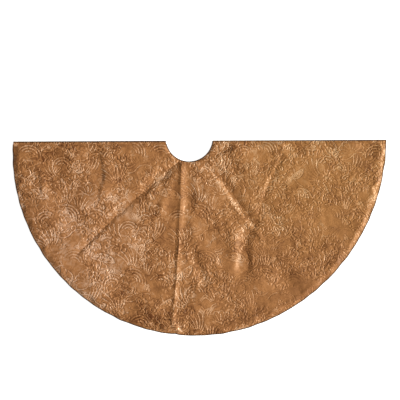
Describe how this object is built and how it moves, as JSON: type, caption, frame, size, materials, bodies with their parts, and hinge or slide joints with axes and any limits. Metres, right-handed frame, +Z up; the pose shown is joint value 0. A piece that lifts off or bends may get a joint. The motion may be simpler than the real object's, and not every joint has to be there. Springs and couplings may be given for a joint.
{
  "type": "tree skirt",
  "caption": "Round lined velvet tree skirt with a trunk hole, a slit and a rubbed botanical emboss, folded in half and lying flat.",
  "frame": {"origin": "centre of the trunk hole, on the surface that the skirt lies on", "axes": "+X along the fold and the slit, from the fold's side to the slit's side; +Y away from the half disc, across the fold; +Z up, out of the upper leaf's face"},
  "size_m": [1.2223, 0.6382, 0.006],
  "materials": {
    "velvet": "embossed pile with a soft metallic sheen",
    "lining": "plain weave, slightly shiny",
    "thread": "spun thread",
    "hook_tape": "woven tape with moulded hooks",
    "loop_tape": "brushed loops",
    "label": "satin, blank"
  },
  "bodies": {
    "lower_half": {"lower_face": "velvet", "lower_lining": "lining", "lower_edge_seam": "thread", "turning_gap_stitching": "thread", "fold_face": "velvet", "fold_lining": "lining", "loop_patch_neck": "loop_tape", "loop_stitching_neck": "thread", "loop_patch_middle": "loop_tape", "loop_stitching_middle": "thread", "loop_patch_hem": "loop_tape", "loop_stitching_hem": "thread"},
    "upper_half": {"upper_face": "velvet", "upper_lining": "lining", "upper_edge_seam": "thread", "care_label": "label", "hook_patch_neck": "hook_tape", "hook_stitching_neck": "thread", "hook_patch_middle": "hook_tape", "hook_stitching_middle": "thread", "hook_patch_hem": "hook_tape", "hook_stitching_hem": "thread"}
  },
  "joints": [
    {"name": "half_fold", "type": "hinge", "parent": "lower_half", "child": "upper_half", "pos_m": [0, -0.008, 0.003], "axis": [-1, 0, 0], "range_deg": [0, 180], "deforming": ["fold_face", "fold_lining"]}
  ]
}
